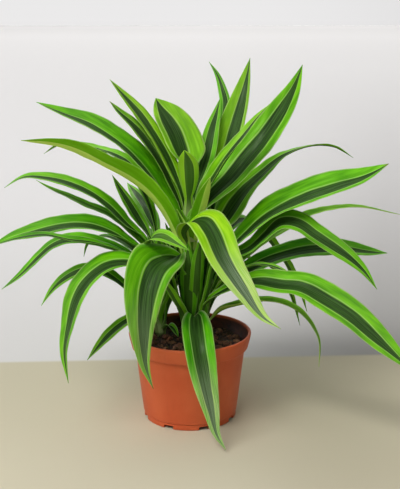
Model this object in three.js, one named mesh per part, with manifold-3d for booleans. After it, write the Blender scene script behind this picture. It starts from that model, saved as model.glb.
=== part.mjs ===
// A potted dracaena with striped strap leaves: three canes in a plastic nursery pot.
// Millimetres, +Z up. The origin is the centre of the pot's flat underside.
import * as THREE from 'three';
import { mergeVertices } from 'three/addons/utils/BufferGeometryUtils.js';
import Module from 'manifold-3d';

const wasm = await Module();
wasm.setup();

// Pot: a 15 cm nursery pot.
const POT_HEIGHT = 107;
const RIM_RADIUS = 75;
const BASE_RADIUS = 57;
const BAND_HEIGHT = 18;
const BAND_TAPER = 3.5;
const BAND_STEP = 4;
const WALL = 2.4;
const FLOOR = 3;
const LIP = 3.4;
const SLOT_COUNT = 8;
const SLOT_FIRST = -72;
const SLOT_WIDTH = 13;
const SLOT_HEIGHT = 4.5;
const SLOT_DEPTH = 9;
const POT_SIDES = 48;
const POT_EDGE = 1.5;

// Clearance between pieces that touch.
const GAP = 0.42;

// Soil
const SOIL_TOP = 93;
const SOIL_BUMP = 1.6;
// Waves of its top, in radians per mm along X and Y, and the height of the fine ones.
const SOIL_BROAD = [0.13, 0.11];
const SOIL_FINE = [0.31, 0.27];
const SOIL_FINE_SHARE = 0.4;
const CHUNK_COUNT = 26;
const CHUNK_SIZE = 6.5;
const CHUNK_SPREAD = 56;
const CHUNK_TURN = 2.4;
const CHUNK_RISE = 0.12;

// Canes: base and top of the axis, the radius at each, and the length of the pointed spear above.
const CANE_FOOT = 58;
const CANE_SIDES = 10;
const CANE_RINGS = 8;
const CANE_RIDGE = 0.5;
const CANES = {
  centre: { base: [2, 0, 93], top: [0, 0, 243], radius: [8.5, 5], spear: 16 },
  left: { base: [-37, 28, 93], top: [-38, 28, 198], radius: [4.2, 3.4], spear: 30 },
  right: { base: [14, 20, 93], top: [24, 32, 205], radius: [4.2, 3.4], spear: 32 },
};

// Leaf blade, shared by every leaf.
const BLADE_ROOT_SHARE = 0.16;
// Usual form: where along the blade it is widest, and how fully it keeps its width past that.
const BLADE_FORM = [0.42, 1.35];
const BLADE_TIP_HALF = 0.7;
const BLADE_STEP = 15;
const BLADE_SEGMENTS_MIN = 7;
const BLADE_SEGMENTS_MAX = 18;
const FOLD_ROOT = 66;
const FOLD_MIDDLE = 20;
const FOLD_TIP = 12;
const FOLD_OPEN_LENGTH = 45;
const SHEET_ROOT = 1.7;
const SHEET_TIP = 0.9;
const WAVE_SHARE = 0.02;
const WAVE_LENGTH = 78;

// Each leaf: name, cane, azimuth in degrees, blade width, neck, roll at root and at tip in degrees,
// and its route as [reach from the cane, height, sideways]. Sideways is left out where it is 0.
// Azimuth 0 is +X and 90 is +Y. The neck is the length at the root that stays narrow. The first
// point lies inside the cane. A last pair gives a form that differs from BLADE_FORM.
const LEAVES = [
  ['leaf_centre_01', 'centre', -80, 38, 8, 0, 0,
    [[3, 112], [14, 128], [30, 134], [50, 132, -3], [70, 124, -5], [85, 110, -5], [95, 80, -1],
      [104, 47, 5], [113, 20, 10], [122, 5, 19]], [0.36, 1.0]],
  ['leaf_centre_02', 'centre', 205, 50, 55, 2, -20,
    [[2, 118], [9, 132], [26, 165], [52, 190], [83, 200], [107, 199], [128, 186], [144, 165], [154, 136],
      [161, 104], [158, 65]], [0.44, 0.85]],
  ['leaf_centre_03', 'centre', -25, 42, 22, 25, 35,
    [[4, 124], [20, 145], [43, 162], [66, 174], [88, 180], [116, 179], [142, 179], [170, 168],
      [200, 153], [230, 131], [259, 109], [273, 96]], [0.55, 1.6]],
  ['leaf_centre_04', 'centre', -120, 60, 22, 0, -70,
    [[3, 192], [10, 199], [26, 205], [60, 210], [86, 206], [103, 187, 1], [111, 160, 2], [113, 132, 3],
      [112, 100, 6], [108, 72, 15]], [0.33, 0.66]],
  ['leaf_centre_05', 'centre', -55, 45, 12, 18, 22,
    [[3, 212], [9, 223, -10], [15, 236, -17], [26, 248, -15], [44, 253, -12], [68, 245, -16],
      [100, 221, -23], [133, 194, -21], [158, 170, -15], [178, 160, -6]], [0.36, 1.0]],
  ['leaf_centre_06', 'centre', 190, 58, 20, 10, 30,
    [[3, 186], [20, 230.6], [35, 258.8], [53, 281], [76, 299], [104, 315], [133, 331], [161, 340],
      [194, 345]]],
  ['leaf_centre_07', 'centre', 172, 44, 20, 0, -30,
    [[3, 194], [14, 246.9], [31, 274.9], [49, 301], [73, 328], [97, 346], [121, 360], [151, 371],
      [184, 383]]],
  ['leaf_centre_08', 'centre', 159, 36, 30, 0, 0,
    [[3, 216], [10, 252.8], [32, 298], [52, 328.8], [72, 353], [91, 370], [103, 383]], [0.62, 1.8]],
  ['leaf_centre_09', 'centre', 146, 31, 22, 0, 0,
    [[2, 236], [9, 268.5], [29, 308], [49, 337], [72, 364], [95, 386], [118, 407]], [0.56, 1.5]],
  ['leaf_centre_10', 'centre', 118, 54, 48, 0, 0,
    [[2, 254.5, -1], [8, 268, -4.6], [22, 296, -9], [42, 334, -10], [60, 360, -4], [84, 384, 3]],
      [0.5, 2.0]],
  ['leaf_centre_11', 'centre', -100, 26, 18, 0, 0,
    [[3, 252.5], [7, 270], [12, 290, 1], [16, 313, 1], [21, 332, -2]], [0.6, 2.0]],
  ['leaf_centre_12', 'centre', 24, 51, 18, 15, 35,
    [[3, 218], [20, 262], [54, 291], [75, 313], [96, 335], [118, 364], [137, 395], [149, 425]]],
  ['leaf_centre_13', 'centre', -4, 40, 27, 15, 15,
    [[3, 230], [9, 264], [28, 294], [47, 324], [65, 348], [79, 368], [92, 383]]],
  ['leaf_centre_14', 'centre', 61, 37, 20, 10, 20,
    [[3, 216], [26, 259], [60, 285], [85, 313], [107, 345], [127, 375], [144, 403], [158, 430]]],
  ['leaf_centre_15', 'centre', 86, 24, 40, 0, 0,
    [[2, 231], [7, 253, 1], [20, 278, -5], [51, 317, -17], [74, 345, -22], [94, 365, -27], [110, 381, -30]]],
  ['leaf_centre_16', 'centre', 232, 18, 8, 0, 0,
    [[4, 102], [12, 125], [28, 147], [46, 173], [60, 188], [70, 202]]],
  ['leaf_centre_17', 'centre', 75, 22, 8, 0, 0,
    [[4, 112], [9, 144, -5], [16, 174, -10], [26, 203, -13], [38, 229, -20]]],
  ['leaf_centre_18', 'centre', 198, 28, 8, 0, 0,
    [[3, 128], [5, 147], [12, 172], [22, 201], [37, 226]]],
  ['leaf_centre_19', 'centre', 92, 42, 22, 0, 0,
    [[2, 200], [16, 232], [50, 260], [95, 283], [140, 270], [170, 238], [185, 188]]],
  ['leaf_centre_20', 'centre', 96, 38, 22, 0, 0,
    [[2, 176], [16, 204], [48, 228], [86, 238], [114, 230], [136, 208]]],
  ['leaf_right_01', 'right', -8, 50, 18, 20, 35,
    [[2, 160], [11, 182, 2], [41, 216, 5], [75, 247, 5], [113, 269, 5], [154, 285, 5], [189, 298, 5],
      [216, 313, 5]], [0.52, 1.6]],
  ['leaf_right_02', 'right', 9, 37, 20, 20, 30,
    [[2, 116], [20, 148], [54, 173], [81, 186], [106, 193], [135, 198], [174, 198], [210, 193],
      [237, 190]], [0.56, 1.6]],
  ['leaf_right_03', 'right', -10, 34, 25, 5, 60,
    [[2, 138], [14, 166], [30, 192], [56, 205], [75, 223], [94, 241], [114, 240], [133, 228], [156, 214],
      [177, 200], [194, 185], [210, 163]]],
  ['leaf_right_04', 'right', 26, 22, 24, 0, 10,
    [[3, 128], [17, 154, 2], [45, 176, 3], [66, 190, 3], [91, 205, 3], [119, 217, 3], [147, 230, 3],
      [185, 237, 3], [233, 236, 3], [303, 219, 3]], [0.4, 1.0]],
  ['leaf_right_05', 'right', 30, 44, 20, 40, -30,
    [[2, 188], [9, 211], [28, 240, 1], [53, 269, 1], [78, 288, 1], [113, 310, 1], [152, 320, 1],
      [193, 316, 1], [224, 300, 1]], [0.28, 0.5]],
  ['leaf_right_06', 'right', -20, 22, 8, 0, 0,
    [[2, 104], [22, 127, 6], [45, 135, 13], [68, 142, 13], [94, 143, 13], [118, 135, 13], [135, 120, 13],
      [146, 100, 13], [147, 66, 13]], [0.3, 1.0]],
  ['leaf_right_07', 'right', 48, 15, 8, 0, 0,
    [[2, 144], [33, 180], [76, 179], [112, 166], [152, 140], [181, 105], [204, 54]]],
  ['leaf_right_08', 'right', 50, 30, 20, 10, 20,
    [[2, 168], [32, 215], [75, 227], [113, 205], [143, 178], [175, 146], [207, 104], [229, 66]]],
  ['leaf_right_09', 'right', 76, 20, 8, 0, 0,
    [[2, 206], [28, 239, 4], [61, 297, 3], [100, 371, 3], [109, 389, 9], [121, 408, 19],
      [133, 424, 33]]],
  ['leaf_right_10', 'right', -25, 14, 8, 0, 0,
    [[2, 128], [18, 158, 5], [41, 177, 10], [67, 189, 10], [100, 185, 10], [125, 161, 10],
      [142, 150, 10]]],
  ['leaf_right_11', 'right', 84, 24, 12, 0, 0,
    [[2, 112], [21, 145, -10], [55, 166, -25], [94, 179, -38]]],
  ['leaf_right_12', 'right', 82, 36, 22, 0, 0,
    [[2, 160], [16, 188, -2], [50, 214, -4], [90, 226, -4], [125, 216, -4], [151, 186, -4],
      [163, 146, -4]]],
  ['leaf_right_13', 'right', 104, 34, 22, 0, 0,
    [[2, 130], [17, 156, -4], [49, 178, -9], [89, 186, -9], [123, 174, -9], [147, 144, -9],
      [157, 104, -9]]],
  ['leaf_left_01', 'left', 142, 26, 12, 0, 0,
    [[2, 214], [8, 240], [23, 270], [47, 302], [72, 313], [107, 318], [143, 321], [171, 318],
      [201, 304]]],
  ['leaf_left_02', 'left', 172, 34, 32, 0, -20,
    [[2, 176], [15, 209], [40, 231], [64, 254], [87, 270], [112, 281], [143, 288], [169, 289],
      [195, 275]]],
  ['leaf_left_03', 'left', 163, 18, 16, -5, -15,
    [[2, 166], [15, 198.2], [42, 225.7], [68, 242.5], [95, 252], [119, 262], [146, 272], [164, 281]]],
  ['leaf_left_04', 'left', 147, 20, 32, -5, -20,
    [[2, 186], [11, 212], [25, 226], [43, 250], [59, 271], [71, 289]]],
  ['leaf_left_05', 'left', 107, 24, 22, 0, 0,
    [[1, 186], [7, 215], [60, 238], [114, 249], [177, 257]]],
  ['leaf_left_06', 'left', 196, 46, 32, 0, -26,
    [[2, 152], [12, 180], [34, 208], [62, 227], [92, 237], [121, 238], [152, 233], [178, 229],
      [203, 220]]],
  ['leaf_left_07', 'left', 215, 20, 28, 0, -18,
    [[2, 126], [10, 160], [29, 188], [60, 209.5], [93, 223.5], [124, 231], [154, 241], [187, 242],
      [223, 237]]],
  ['leaf_left_08', 'left', 172, 26, 16, 15, -52,
    [[2, 120], [14, 164], [38, 190], [69, 205], [100, 211], [123, 208], [140, 200], [155, 187],
      [179, 164], [206, 143]]],
  ['leaf_left_09', 'left', 200, 24, 20, -10, -40,
    [[2, 104], [11, 123], [30, 141], [48, 160], [65, 175], [83, 184], [99, 185], [120, 177], [136, 164],
      [149, 146]], [0.42, 1.1]],
  ['leaf_left_10', 'left', 139, 16, 8, 0, 0,
    [[2, 150], [18, 181], [51, 196], [86, 204], [115, 201], [133, 187], [140, 170]]],
  ['leaf_left_11', 'left', 222, 21, 10, -10, -10,
    [[3, 99], [8, 111], [25, 121.5], [50, 121.5], [73, 113.5], [96, 99.5], [113, 86.5]]],
  ['leaf_left_12', 'left', -48, 14, 4, 0, 0,
    [[2, 96], [12, 106], [24, 105], [34, 98]]],
  ['leaf_left_13', 'left', 92, 36, 22, 0, 0,
    [[2, 150], [14, 176], [46, 196], [86, 204], [122, 192], [146, 162], [156, 124]]],
  ['leaf_left_14', 'left', 125, 34, 22, 0, 0,
    [[2, 116], [14, 144], [44, 166], [74, 172], [96, 164]]],
  ['leaf_left_15', 'left', 66, 32, 22, 0, 0,
    [[2, 118], [14, 140], [42, 156], [76, 160], [108, 150], [134, 124], [148, 90]]],
  ['leaf_left_16', 'left', -28, 12, 8, 0, 0,
    [[3, 120], [7, 132, -2], [14, 142, -7], [20, 164, -10], [26, 192, -21]]],
  ['leaf_left_17', 'left', 248, 14, 14, 0, 0,
    [[3, 109], [7, 123], [14, 146], [22, 171]]],
];

const LEAF_COLOUR = 0x5f9e2e;
const CANE_COLOUR = 0xb9b98c;
const POT_COLOUR = 0xb9613c;
const SOIL_COLOUR = 0x33241b;

const radians = THREE.MathUtils.degToRad;
const { clamp, lerp, smoothstep } = THREE.MathUtils;

// A repeatable number from 0 to 1 for each index.
function draw(index, salt) {
  const value = Math.sin(index * 127.1 + salt * 311.7) * 43758.5453;
  return value - Math.floor(value);
}

function material(color, roughness) {
  return new THREE.MeshStandardMaterial({ color, roughness, metalness: 0 });
}

function solidOf(geometry) {
  const bare = geometry.clone();
  bare.deleteAttribute('normal');
  bare.deleteAttribute('uv');
  const merged = mergeVertices(bare, 1e-4);
  return new wasm.Manifold(new wasm.Mesh({
    numProp: 3,
    vertProperties: Float32Array.from(merged.attributes.position.array),
    triVerts: Uint32Array.from(merged.index.array),
  }));
}

function geometryOf(solid) {
  const mesh = solid.getMesh();
  const geometry = new THREE.BufferGeometry();
  geometry.setAttribute('position', new THREE.BufferAttribute(mesh.vertProperties, 3));
  geometry.setIndex(new THREE.BufferAttribute(mesh.triVerts, 1));
  geometry.computeVertexNormals();
  return geometry;
}

function largestBody(solid) {
  return solid.decompose().reduce((best, body) => (body.volume() > best.volume() ? body : best));
}

// A closed skin over two matching grids of points: the upper one and, below it, the lower one.
// Both are split along the same diagonals, so a waved sheet never crosses itself.
function sheetGeometry(upper, lower) {
  const rows = upper.length;
  const columns = upper[0].length;
  const positions = [...upper.flat(), ...lower.flat()].flatMap((point) => point.toArray());
  const top = (i, k) => i * columns + k;
  const bottom = (i, k) => rows * columns + i * columns + k;
  const index = [];
  const quad = (a, b, c, d) => index.push(a, b, c, a, c, d);
  for (let i = 0; i < rows - 1; i += 1) {
    for (let k = 0; k < columns - 1; k += 1) {
      quad(top(i, k), top(i + 1, k), top(i + 1, k + 1), top(i, k + 1));
      index.push(bottom(i, k), bottom(i + 1, k + 1), bottom(i + 1, k));
      index.push(bottom(i, k), bottom(i, k + 1), bottom(i + 1, k + 1));
    }
    quad(bottom(i, 0), bottom(i + 1, 0), top(i + 1, 0), top(i, 0));
    quad(top(i, columns - 1), top(i + 1, columns - 1), bottom(i + 1, columns - 1), bottom(i, columns - 1));
  }
  for (let k = 0; k < columns - 1; k += 1) {
    quad(top(0, k), top(0, k + 1), bottom(0, k + 1), bottom(0, k));
    quad(bottom(rows - 1, k), bottom(rows - 1, k + 1), top(rows - 1, k + 1), top(rows - 1, k));
  }
  const geometry = new THREE.BufferGeometry();
  geometry.setAttribute('position', new THREE.Float32BufferAttribute(positions, 3));
  geometry.setIndex(index);
  return geometry;
}

// The point of a cane's axis at a height.
function caneAxis(cane, height) {
  const base = new THREE.Vector3(...cane.base);
  const top = new THREE.Vector3(...cane.top);
  return base.lerp(top, (height - cane.base[2]) / (cane.top[2] - cane.base[2]));
}

// A tapered cane with low rings where old leaves have dropped, a buried foot and a pointed spear.
function caneGeometry(cane, growth) {
  const [, , baseHeight] = cane.base;
  const [, , topHeight] = cane.top;
  const profile = [new THREE.Vector2(0, CANE_FOOT - growth)];
  profile.push(new THREE.Vector2(cane.radius[0] + growth, CANE_FOOT - growth));
  for (let i = 0; i <= CANE_RINGS; i += 1) {
    const share = i / CANE_RINGS;
    const ridge = i % 2 ? CANE_RIDGE : 0;
    const height = lerp(baseHeight, topHeight, share);
    profile.push(new THREE.Vector2(lerp(cane.radius[0], cane.radius[1], share) + ridge + growth, height));
  }
  profile.push(new THREE.Vector2(cane.radius[1] * 0.5 + growth, topHeight + cane.spear * 0.6));
  profile.push(new THREE.Vector2(0, topHeight + cane.spear + growth * 2));
  const geometry = new THREE.LatheGeometry(profile, CANE_SIDES);
  geometry.rotateX(Math.PI / 2);
  const position = geometry.attributes.position;
  const point = new THREE.Vector3();
  for (let i = 0; i < position.count; i += 1) {
    point.fromBufferAttribute(position, i);
    const axis = caneAxis(cane, point.z);
    position.setXY(i, point.x + axis.x, point.y + axis.y);
  }
  return geometry;
}

// The leaf's route in space, from its row of reach, height and sideways places.
function leafCurve(cane, azimuth, route) {
  const outward = new THREE.Vector3(Math.cos(radians(azimuth)), Math.sin(radians(azimuth)), 0);
  const across = new THREE.Vector3(-outward.y, outward.x, 0);
  const origin = caneAxis(cane, route[0][1]).setZ(0);
  const points = route.map(([reach, height, sideways = 0]) => origin.clone()
    .addScaledVector(outward, reach).addScaledVector(across, sideways).setZ(height));
  return { curve: new THREE.CatmullRomCurve3(points, false, 'centripetal'), across };
}

// Share of the full half width at u, from the root at 0 to the tip at 1.
function outlineShare(u, neckShare, [widest, taper]) {
  const opening = clamp((u - neckShare) / (widest - neckShare), 0, 1);
  const rise = lerp(BLADE_ROOT_SHARE, 1, Math.sin((Math.PI / 2) * opening));
  const past = Math.max(0, (u - widest) / (1 - widest));
  return rise * Math.cos((Math.PI / 2) * past ** taper);
}

// A blade is a channelled sheet: two waved halves that rise from the midrib.
function leafGeometry(row, order) {
  const [, caneName, azimuth, width, neck, rollRoot, rollTip, route, form = BLADE_FORM] = row;
  const { curve, across } = leafCurve(CANES[caneName], azimuth, route);
  const length = curve.getLength();
  const segments = clamp(Math.round(length / BLADE_STEP), BLADE_SEGMENTS_MIN, BLADE_SEGMENTS_MAX);
  const waves = length / WAVE_LENGTH;
  const upper = [];
  const lower = [];
  for (let i = 0; i <= segments; i += 1) {
    const u = i / segments;
    const centre = curve.getPointAt(u);
    const along = curve.getTangentAt(u);
    const side = across.clone().addScaledVector(along, -across.dot(along)).normalize();
    side.applyAxisAngle(along, radians(lerp(rollRoot, rollTip, u)));
    const up = along.clone().cross(side);
    const half = Math.max(BLADE_TIP_HALF, (width / 2) * outlineShare(u, neck / length, form));
    const opened = smoothstep(u * length, neck * 0.5, neck + FOLD_OPEN_LENGTH);
    const fold = radians(lerp(lerp(FOLD_ROOT, FOLD_MIDDLE, opened), FOLD_TIP, Math.max(0, 2 * u - 1)));
    const wave = width * WAVE_SHARE * Math.sin(Math.PI * u);
    const edge = (sign) => {
      const phase = 2 * Math.PI * (waves * u + draw(order, sign));
      return centre.clone()
        .addScaledVector(side, sign * half * Math.cos(fold))
        .addScaledVector(up, half * Math.sin(fold) + wave * Math.sin(phase));
    };
    const section = [edge(-1), centre, edge(1)];
    const sheet = lerp(SHEET_ROOT, SHEET_TIP, Math.min(1, u * 2));
    upper.push(section);
    lower.push(section.map((point) => point.clone().addScaledVector(up, -sheet)));
  }
  return sheetGeometry(upper, lower);
}

function leafMesh(row, order) {
  const cane = CANES[row[1]];
  const blade = solidOf(leafGeometry(row, order)).subtract(solidOf(caneGeometry(cane, GAP)));
  const mesh = new THREE.Mesh(geometryOf(largestBody(blade)), material(LEAF_COLOUR, 0.4));
  [mesh.name] = row;
  return mesh;
}

// Wall radius of the pot's outside below the rim band.
function wallRadius(height) {
  const bandFoot = POT_HEIGHT - BAND_HEIGHT;
  return lerp(BASE_RADIUS, RIM_RADIUS - BAND_TAPER - BAND_STEP, height / bandFoot);
}

function potMesh() {
  const bandFoot = POT_HEIGHT - BAND_HEIGHT;
  const profile = [
    [0, 0],
    [BASE_RADIUS - POT_EDGE, 0],
    [BASE_RADIUS, POT_EDGE],
    [wallRadius(bandFoot), bandFoot],
    [RIM_RADIUS - BAND_TAPER, bandFoot + POT_EDGE],
    [RIM_RADIUS, POT_HEIGHT - POT_EDGE],
    [RIM_RADIUS - POT_EDGE, POT_HEIGHT],
    [RIM_RADIUS - LIP, POT_HEIGHT],
    [RIM_RADIUS - LIP - POT_EDGE / 2, POT_HEIGHT - POT_EDGE],
    [RIM_RADIUS - BAND_TAPER - WALL - POT_EDGE, bandFoot + POT_EDGE * 2],
    [wallRadius(bandFoot) - WALL, bandFoot],
    [wallRadius(FLOOR) - WALL, FLOOR],
    [0, FLOOR],
  ].map(([radius, height]) => new THREE.Vector2(radius, height));
  const shell = new THREE.LatheGeometry(profile, POT_SIDES).rotateX(Math.PI / 2);
  let solid = solidOf(shell);
  for (let i = 0; i < SLOT_COUNT; i += 1) {
    const slot = new THREE.BoxGeometry(SLOT_DEPTH * 2, SLOT_WIDTH, SLOT_HEIGHT * 2);
    slot.translate(BASE_RADIUS, 0, 0).rotateZ(radians(SLOT_FIRST + (360 * i) / SLOT_COUNT));
    solid = solid.subtract(solidOf(slot));
  }
  const mesh = new THREE.Mesh(geometryOf(solid), material(POT_COLOUR, 0.45));
  mesh.name = 'pot';
  return mesh;
}

// Height of the soil's uneven top.
function soilHeight(x, y) {
  const broad = Math.sin(x * SOIL_BROAD[0] + 1) * Math.cos(y * SOIL_BROAD[1]);
  const fine = Math.sin(x * SOIL_FINE[0] + y * SOIL_FINE[1]);
  return SOIL_TOP + SOIL_BUMP * (broad + SOIL_FINE_SHARE * fine);
}

function soilMesh() {
  const bandFoot = POT_HEIGHT - BAND_HEIGHT;
  const floor = FLOOR + GAP;
  const topRadius = wallRadius(bandFoot) - WALL - GAP;
  const profile = [[0, floor], [wallRadius(floor) - WALL - GAP, floor], [topRadius, bandFoot]];
  for (const share of [1, 0.8, 0.6, 0.4, 0.2, 0]) {
    profile.push([share * topRadius, SOIL_TOP]);
  }
  const points = profile.map(([radius, height]) => new THREE.Vector2(radius, height));
  const fill = new THREE.LatheGeometry(points, POT_SIDES).rotateX(Math.PI / 2);
  const position = fill.attributes.position;
  for (let i = 0; i < position.count; i += 1) {
    if (position.getZ(i) > SOIL_TOP - 0.01) {
      position.setZ(i, soilHeight(position.getX(i), position.getY(i)));
    }
  }
  let solid = solidOf(fill);
  for (let i = 0; i < CHUNK_COUNT; i += 1) {
    const angle = i * CHUNK_TURN;
    const reach = CHUNK_SPREAD * Math.sqrt((i + 0.6) / CHUNK_COUNT);
    const size = CHUNK_SIZE * lerp(0.6, 1.2, draw(i, 1));
    const chunk = new THREE.IcosahedronGeometry(size, 0).scale(1, 0.7, 0.5);
    chunk.rotateX(draw(i, 2) - 0.5).rotateZ(2 * Math.PI * draw(i, 3));
    const [x, y] = [reach * Math.cos(angle), reach * Math.sin(angle)];
    chunk.translate(x, y, soilHeight(x, y) + size * CHUNK_RISE);
    solid = solid.add(solidOf(chunk));
  }
  for (const cane of Object.values(CANES)) {
    solid = solid.subtract(solidOf(caneGeometry(cane, GAP)));
  }
  const mesh = new THREE.Mesh(geometryOf(largestBody(solid)), material(SOIL_COLOUR, 0.95));
  mesh.name = 'soil';
  return mesh;
}

function caneMesh(name) {
  const mesh = new THREE.Mesh(geometryOf(solidOf(caneGeometry(CANES[name], 0))), material(CANE_COLOUR, 0.6));
  mesh.name = `stem_${name}`;
  return mesh;
}

const plant = new THREE.Group();
plant.add(potMesh(), soilMesh());
for (const name of Object.keys(CANES)) {
  plant.add(caneMesh(name));
}
LEAVES.forEach((row, order) => plant.add(leafMesh(row, order)));

export default plant;
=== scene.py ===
"""Visual model of a potted dracaena with striped strap leaves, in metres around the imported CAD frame."""
import math
import random
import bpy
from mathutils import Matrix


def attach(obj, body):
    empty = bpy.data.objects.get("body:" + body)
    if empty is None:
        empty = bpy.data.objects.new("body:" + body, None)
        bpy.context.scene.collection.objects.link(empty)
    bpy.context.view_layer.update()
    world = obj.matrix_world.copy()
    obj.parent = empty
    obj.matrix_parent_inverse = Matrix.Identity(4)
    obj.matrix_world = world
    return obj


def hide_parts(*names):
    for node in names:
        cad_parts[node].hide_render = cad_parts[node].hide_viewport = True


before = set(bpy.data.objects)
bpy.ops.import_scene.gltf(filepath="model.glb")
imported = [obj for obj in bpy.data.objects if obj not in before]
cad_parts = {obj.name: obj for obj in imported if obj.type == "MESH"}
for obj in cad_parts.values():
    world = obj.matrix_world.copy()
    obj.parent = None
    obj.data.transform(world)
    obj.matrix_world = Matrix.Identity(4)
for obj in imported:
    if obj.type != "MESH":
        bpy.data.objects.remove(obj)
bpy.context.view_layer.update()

from types import SimpleNamespace

import bmesh
import bpy
import numpy as np
from mathutils import Euler, Matrix, Vector, noise

MM = 0.001

# Pot, in millimetres, as in the CAD.
POT_HEIGHT = 107
RIM_RADIUS = 75
BASE_RADIUS = 57
BAND_HEIGHT = 18
BAND_TAPER = 3.5
BAND_STEP = 4
WALL = 2.4
FLOOR = 3
LIP = 3.4
SLOT_COUNT = 8
SLOT_FIRST = -72
SLOT_WIDTH = 13
SLOT_HEIGHT = 4.5
SLOT_DEPTH = 9
POT_SIDES = 144
# The rounds at its foot, under the band, at the rim and at the lip.
FOOT_ROUND, BAND_ROUND, RIM_ROUND, LIP_ROUND = 1.3, 1.1, 1.3, 0.9
# The hollow under it: its height, and how far inside the foot it begins and ends.
HOLLOW_RISE, HOLLOW_END, HOLLOW_START = 1.2, 13, 11.5
# The foot is set in below this height.
FOOT_TOP, FOOT_INSET = 7.2, 1.3
# Smooth shading stops at edges sharper than this, in degrees.
POT_SHARP = 32

# Soil
SOIL_TOP = 93
SOIL_BUMP = 1.6
# Waves of its top, in radians per mm along X and Y, and the height of the fine ones.
SOIL_BROAD = (0.13, 0.11)
SOIL_FINE = (0.31, 0.27)
SOIL_FINE_SHARE = 0.4
SOIL_GAP = 0.3
SOIL_SIDES, SOIL_RINGS = 160, 56
# The CAD's bark pieces, and how many smaller ones and crumbs lie between, their sizes and reach.
CHUNK_COUNT = 26
CHUNK_SIZE = 6.5
CHUNK_SPREAD = 56
CHUNK_TURN = 2.4
CHIP_COUNT, CHIP_SIZES, CHIP_REACH = 120, (2.0, 6.2), 61
CHIP_CUTS = 5
GRIT_COUNT, GRIT_SIZES, GRIT_REACH = 1500, (0.35, 1.15), 63

# Canes: base and top of the axis, the radius at each, and the length of the rolled spear above.
CANES = {
    "centre": {"base": (2, 0, 93), "top": (0, 0, 243), "radius": (8.5, 5), "spear": 16},
    "left": {"base": (-37, 28, 93), "top": (-38, 28, 198), "radius": (4.2, 3.4), "spear": 30},
    "right": {"base": (14, 20, 93), "top": (24, 32, 205), "radius": (4.2, 3.4), "spear": 32},
}
CANE_SIDES = 40
CANE_STEP = 0.9
CANE_BURIED = 8
SCAR_HEIGHT = 0.55
SCAR_SLANT = 1.4
# Turn from one scar's low side to the next one's, in radians.
SCAR_TURN = 2.4
# Spacing of the leaf scars at the foot and at the top.
SCAR_SPACING = (7.5, 4.0)
SPEAR_STEPS = 24

# Erect leaf bases round each cane: how many, lowest and highest foot, first azimuth, length, width.
SHEATHS = {
    "centre": (12, 97, 212, -95, 66, 30),
    "left": (7, 108, 172, -60, 52, 22),
    "right": (7, 104, 176, -120, 52, 22),
}
# Turn from one erect base to the next, in degrees, and the least and most that their tips lean out.
SHEATH_STEP = 137.5
SHEATH_LEAN = (2.5, 6.0)

# Short upright leaves inside the tuft: number, cane, and then as in LEAVES.
INNER = """
01 centre -103 24 10 0 0 0.45 1.6: 6,106 12,130 15,165 16,200 18,222
02 centre -62 20 10 0 0 0.45 1.6: 6,110 12,140 17,180 22,215 26,232
03 left 5 30 10 0 0 0.45 1.6: 4,118 9,150 16,186 25,220 32,240
04 centre 158 28 10 0 0 0.45 1.6: 6,112 12,145 19,180 27,215 34,240
05 centre 215 20 10 0 0 0.4 1.4: 6,100 14,124 24,150 32,180 38,208
06 left -35 20 10 0 0 0.4 1.4: 4,110 10,136 17,164 24,196 30,222
07 centre -20 22 10 0 0 0.4 1.4: 6,104 15,132 24,166 30,200 34,226
09 centre -58 22 8 0 0 0.45 1.6: 5,200 9,222 17,248 30,278 44,304
10 centre -135 22 8 0 0 0.45 1.6: 6,176 10,200 14,222 17,244 22,262
11 left -46 24 40 25 25 0.62 1.2: 3,150 15,193,-18 27,216,-41 47,233,-52 69,239,-55 89,235,-54 \
    107,229,-50
12 centre 205 15 8 0 0 0.4 1.4: 5,101 14,135,9 26,157,8 36,175,5 43,200,4
13 left -10 14 6 0 0 0.45 1.4: 3,100 8,118,-5 14,146,-10 23,174,-14 28,202,-15
14 left 150 12 6 0 0 0.45 1.4: 3,102 2,122,3 5,144,7 7,165,8 4,188,9
15 centre 190 20 2 0 0 0.3 1.2: 5,100 15,138,5 21,162,6 25,184,6 27,209,5
16 left -40 20 2 0 0 0.25 1.2: 3,98 8,118,-1 21,145,-3 32,168,-5 42,189,-4
08 left 60 30 10 0 0 0.45 1.6: 4,110 10,144 20,180 32,216 40,236
"""

# Leaf blade
BLADE_ROOT_SHARE = 0.16
BLADE_FORM = (0.42, 1.35)
BLADE_TIP_HALF = 0.28
FOLD_ROOT, FOLD_MIDDLE, FOLD_TIP = 66, 20, 12
FOLD_OPEN_LENGTH = 45
WAVE_SHARE = 0.02
WAVE_LENGTH = 78
RIPPLE_HEIGHT = 0.25
RIPPLE_LENGTH = 21
CURVE_STEPS = 420
STATION_STEP = 3.6
COLUMNS = 12
# How far a root runs down its cane, and how far round the cane it clasps to each side.
SHEATH_LENGTH = 9
SHEATH_TURN = math.radians(112)
# Roots lie over each other in layers: the first one's distance from the cane, the step, and how many.
# Erect bases have layers of their own, and inner leaves share one.
LAYER_FIRST, LAYER_STEP, LAYERS = 0.35, 0.55, 5
BASE_LAYER_FIRST, BASE_LAYER_STEP, BASE_LAYERS = 0.3, 0.5, 4
INNER_LAYER = 1.2
# A route is moved out to the skin up to this reach, and less and less between these lengths.
HUG_REACH, HUG_FADE = 45, (30, 60)
# A blade unwraps from the cane between these distances from the skin.
UNWRAP_START, UNWRAP_END = 1.0, 15
# Thickness of the sheet at root and blade, what its midrib adds at root and tip, and that one's width.
SHEET_ROOT, SHEET_BLADE = 0.85, 0.5
RIB_ROOT, RIB_TIP, RIB_WIDTH = 0.9, 0.25, 1.3

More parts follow.
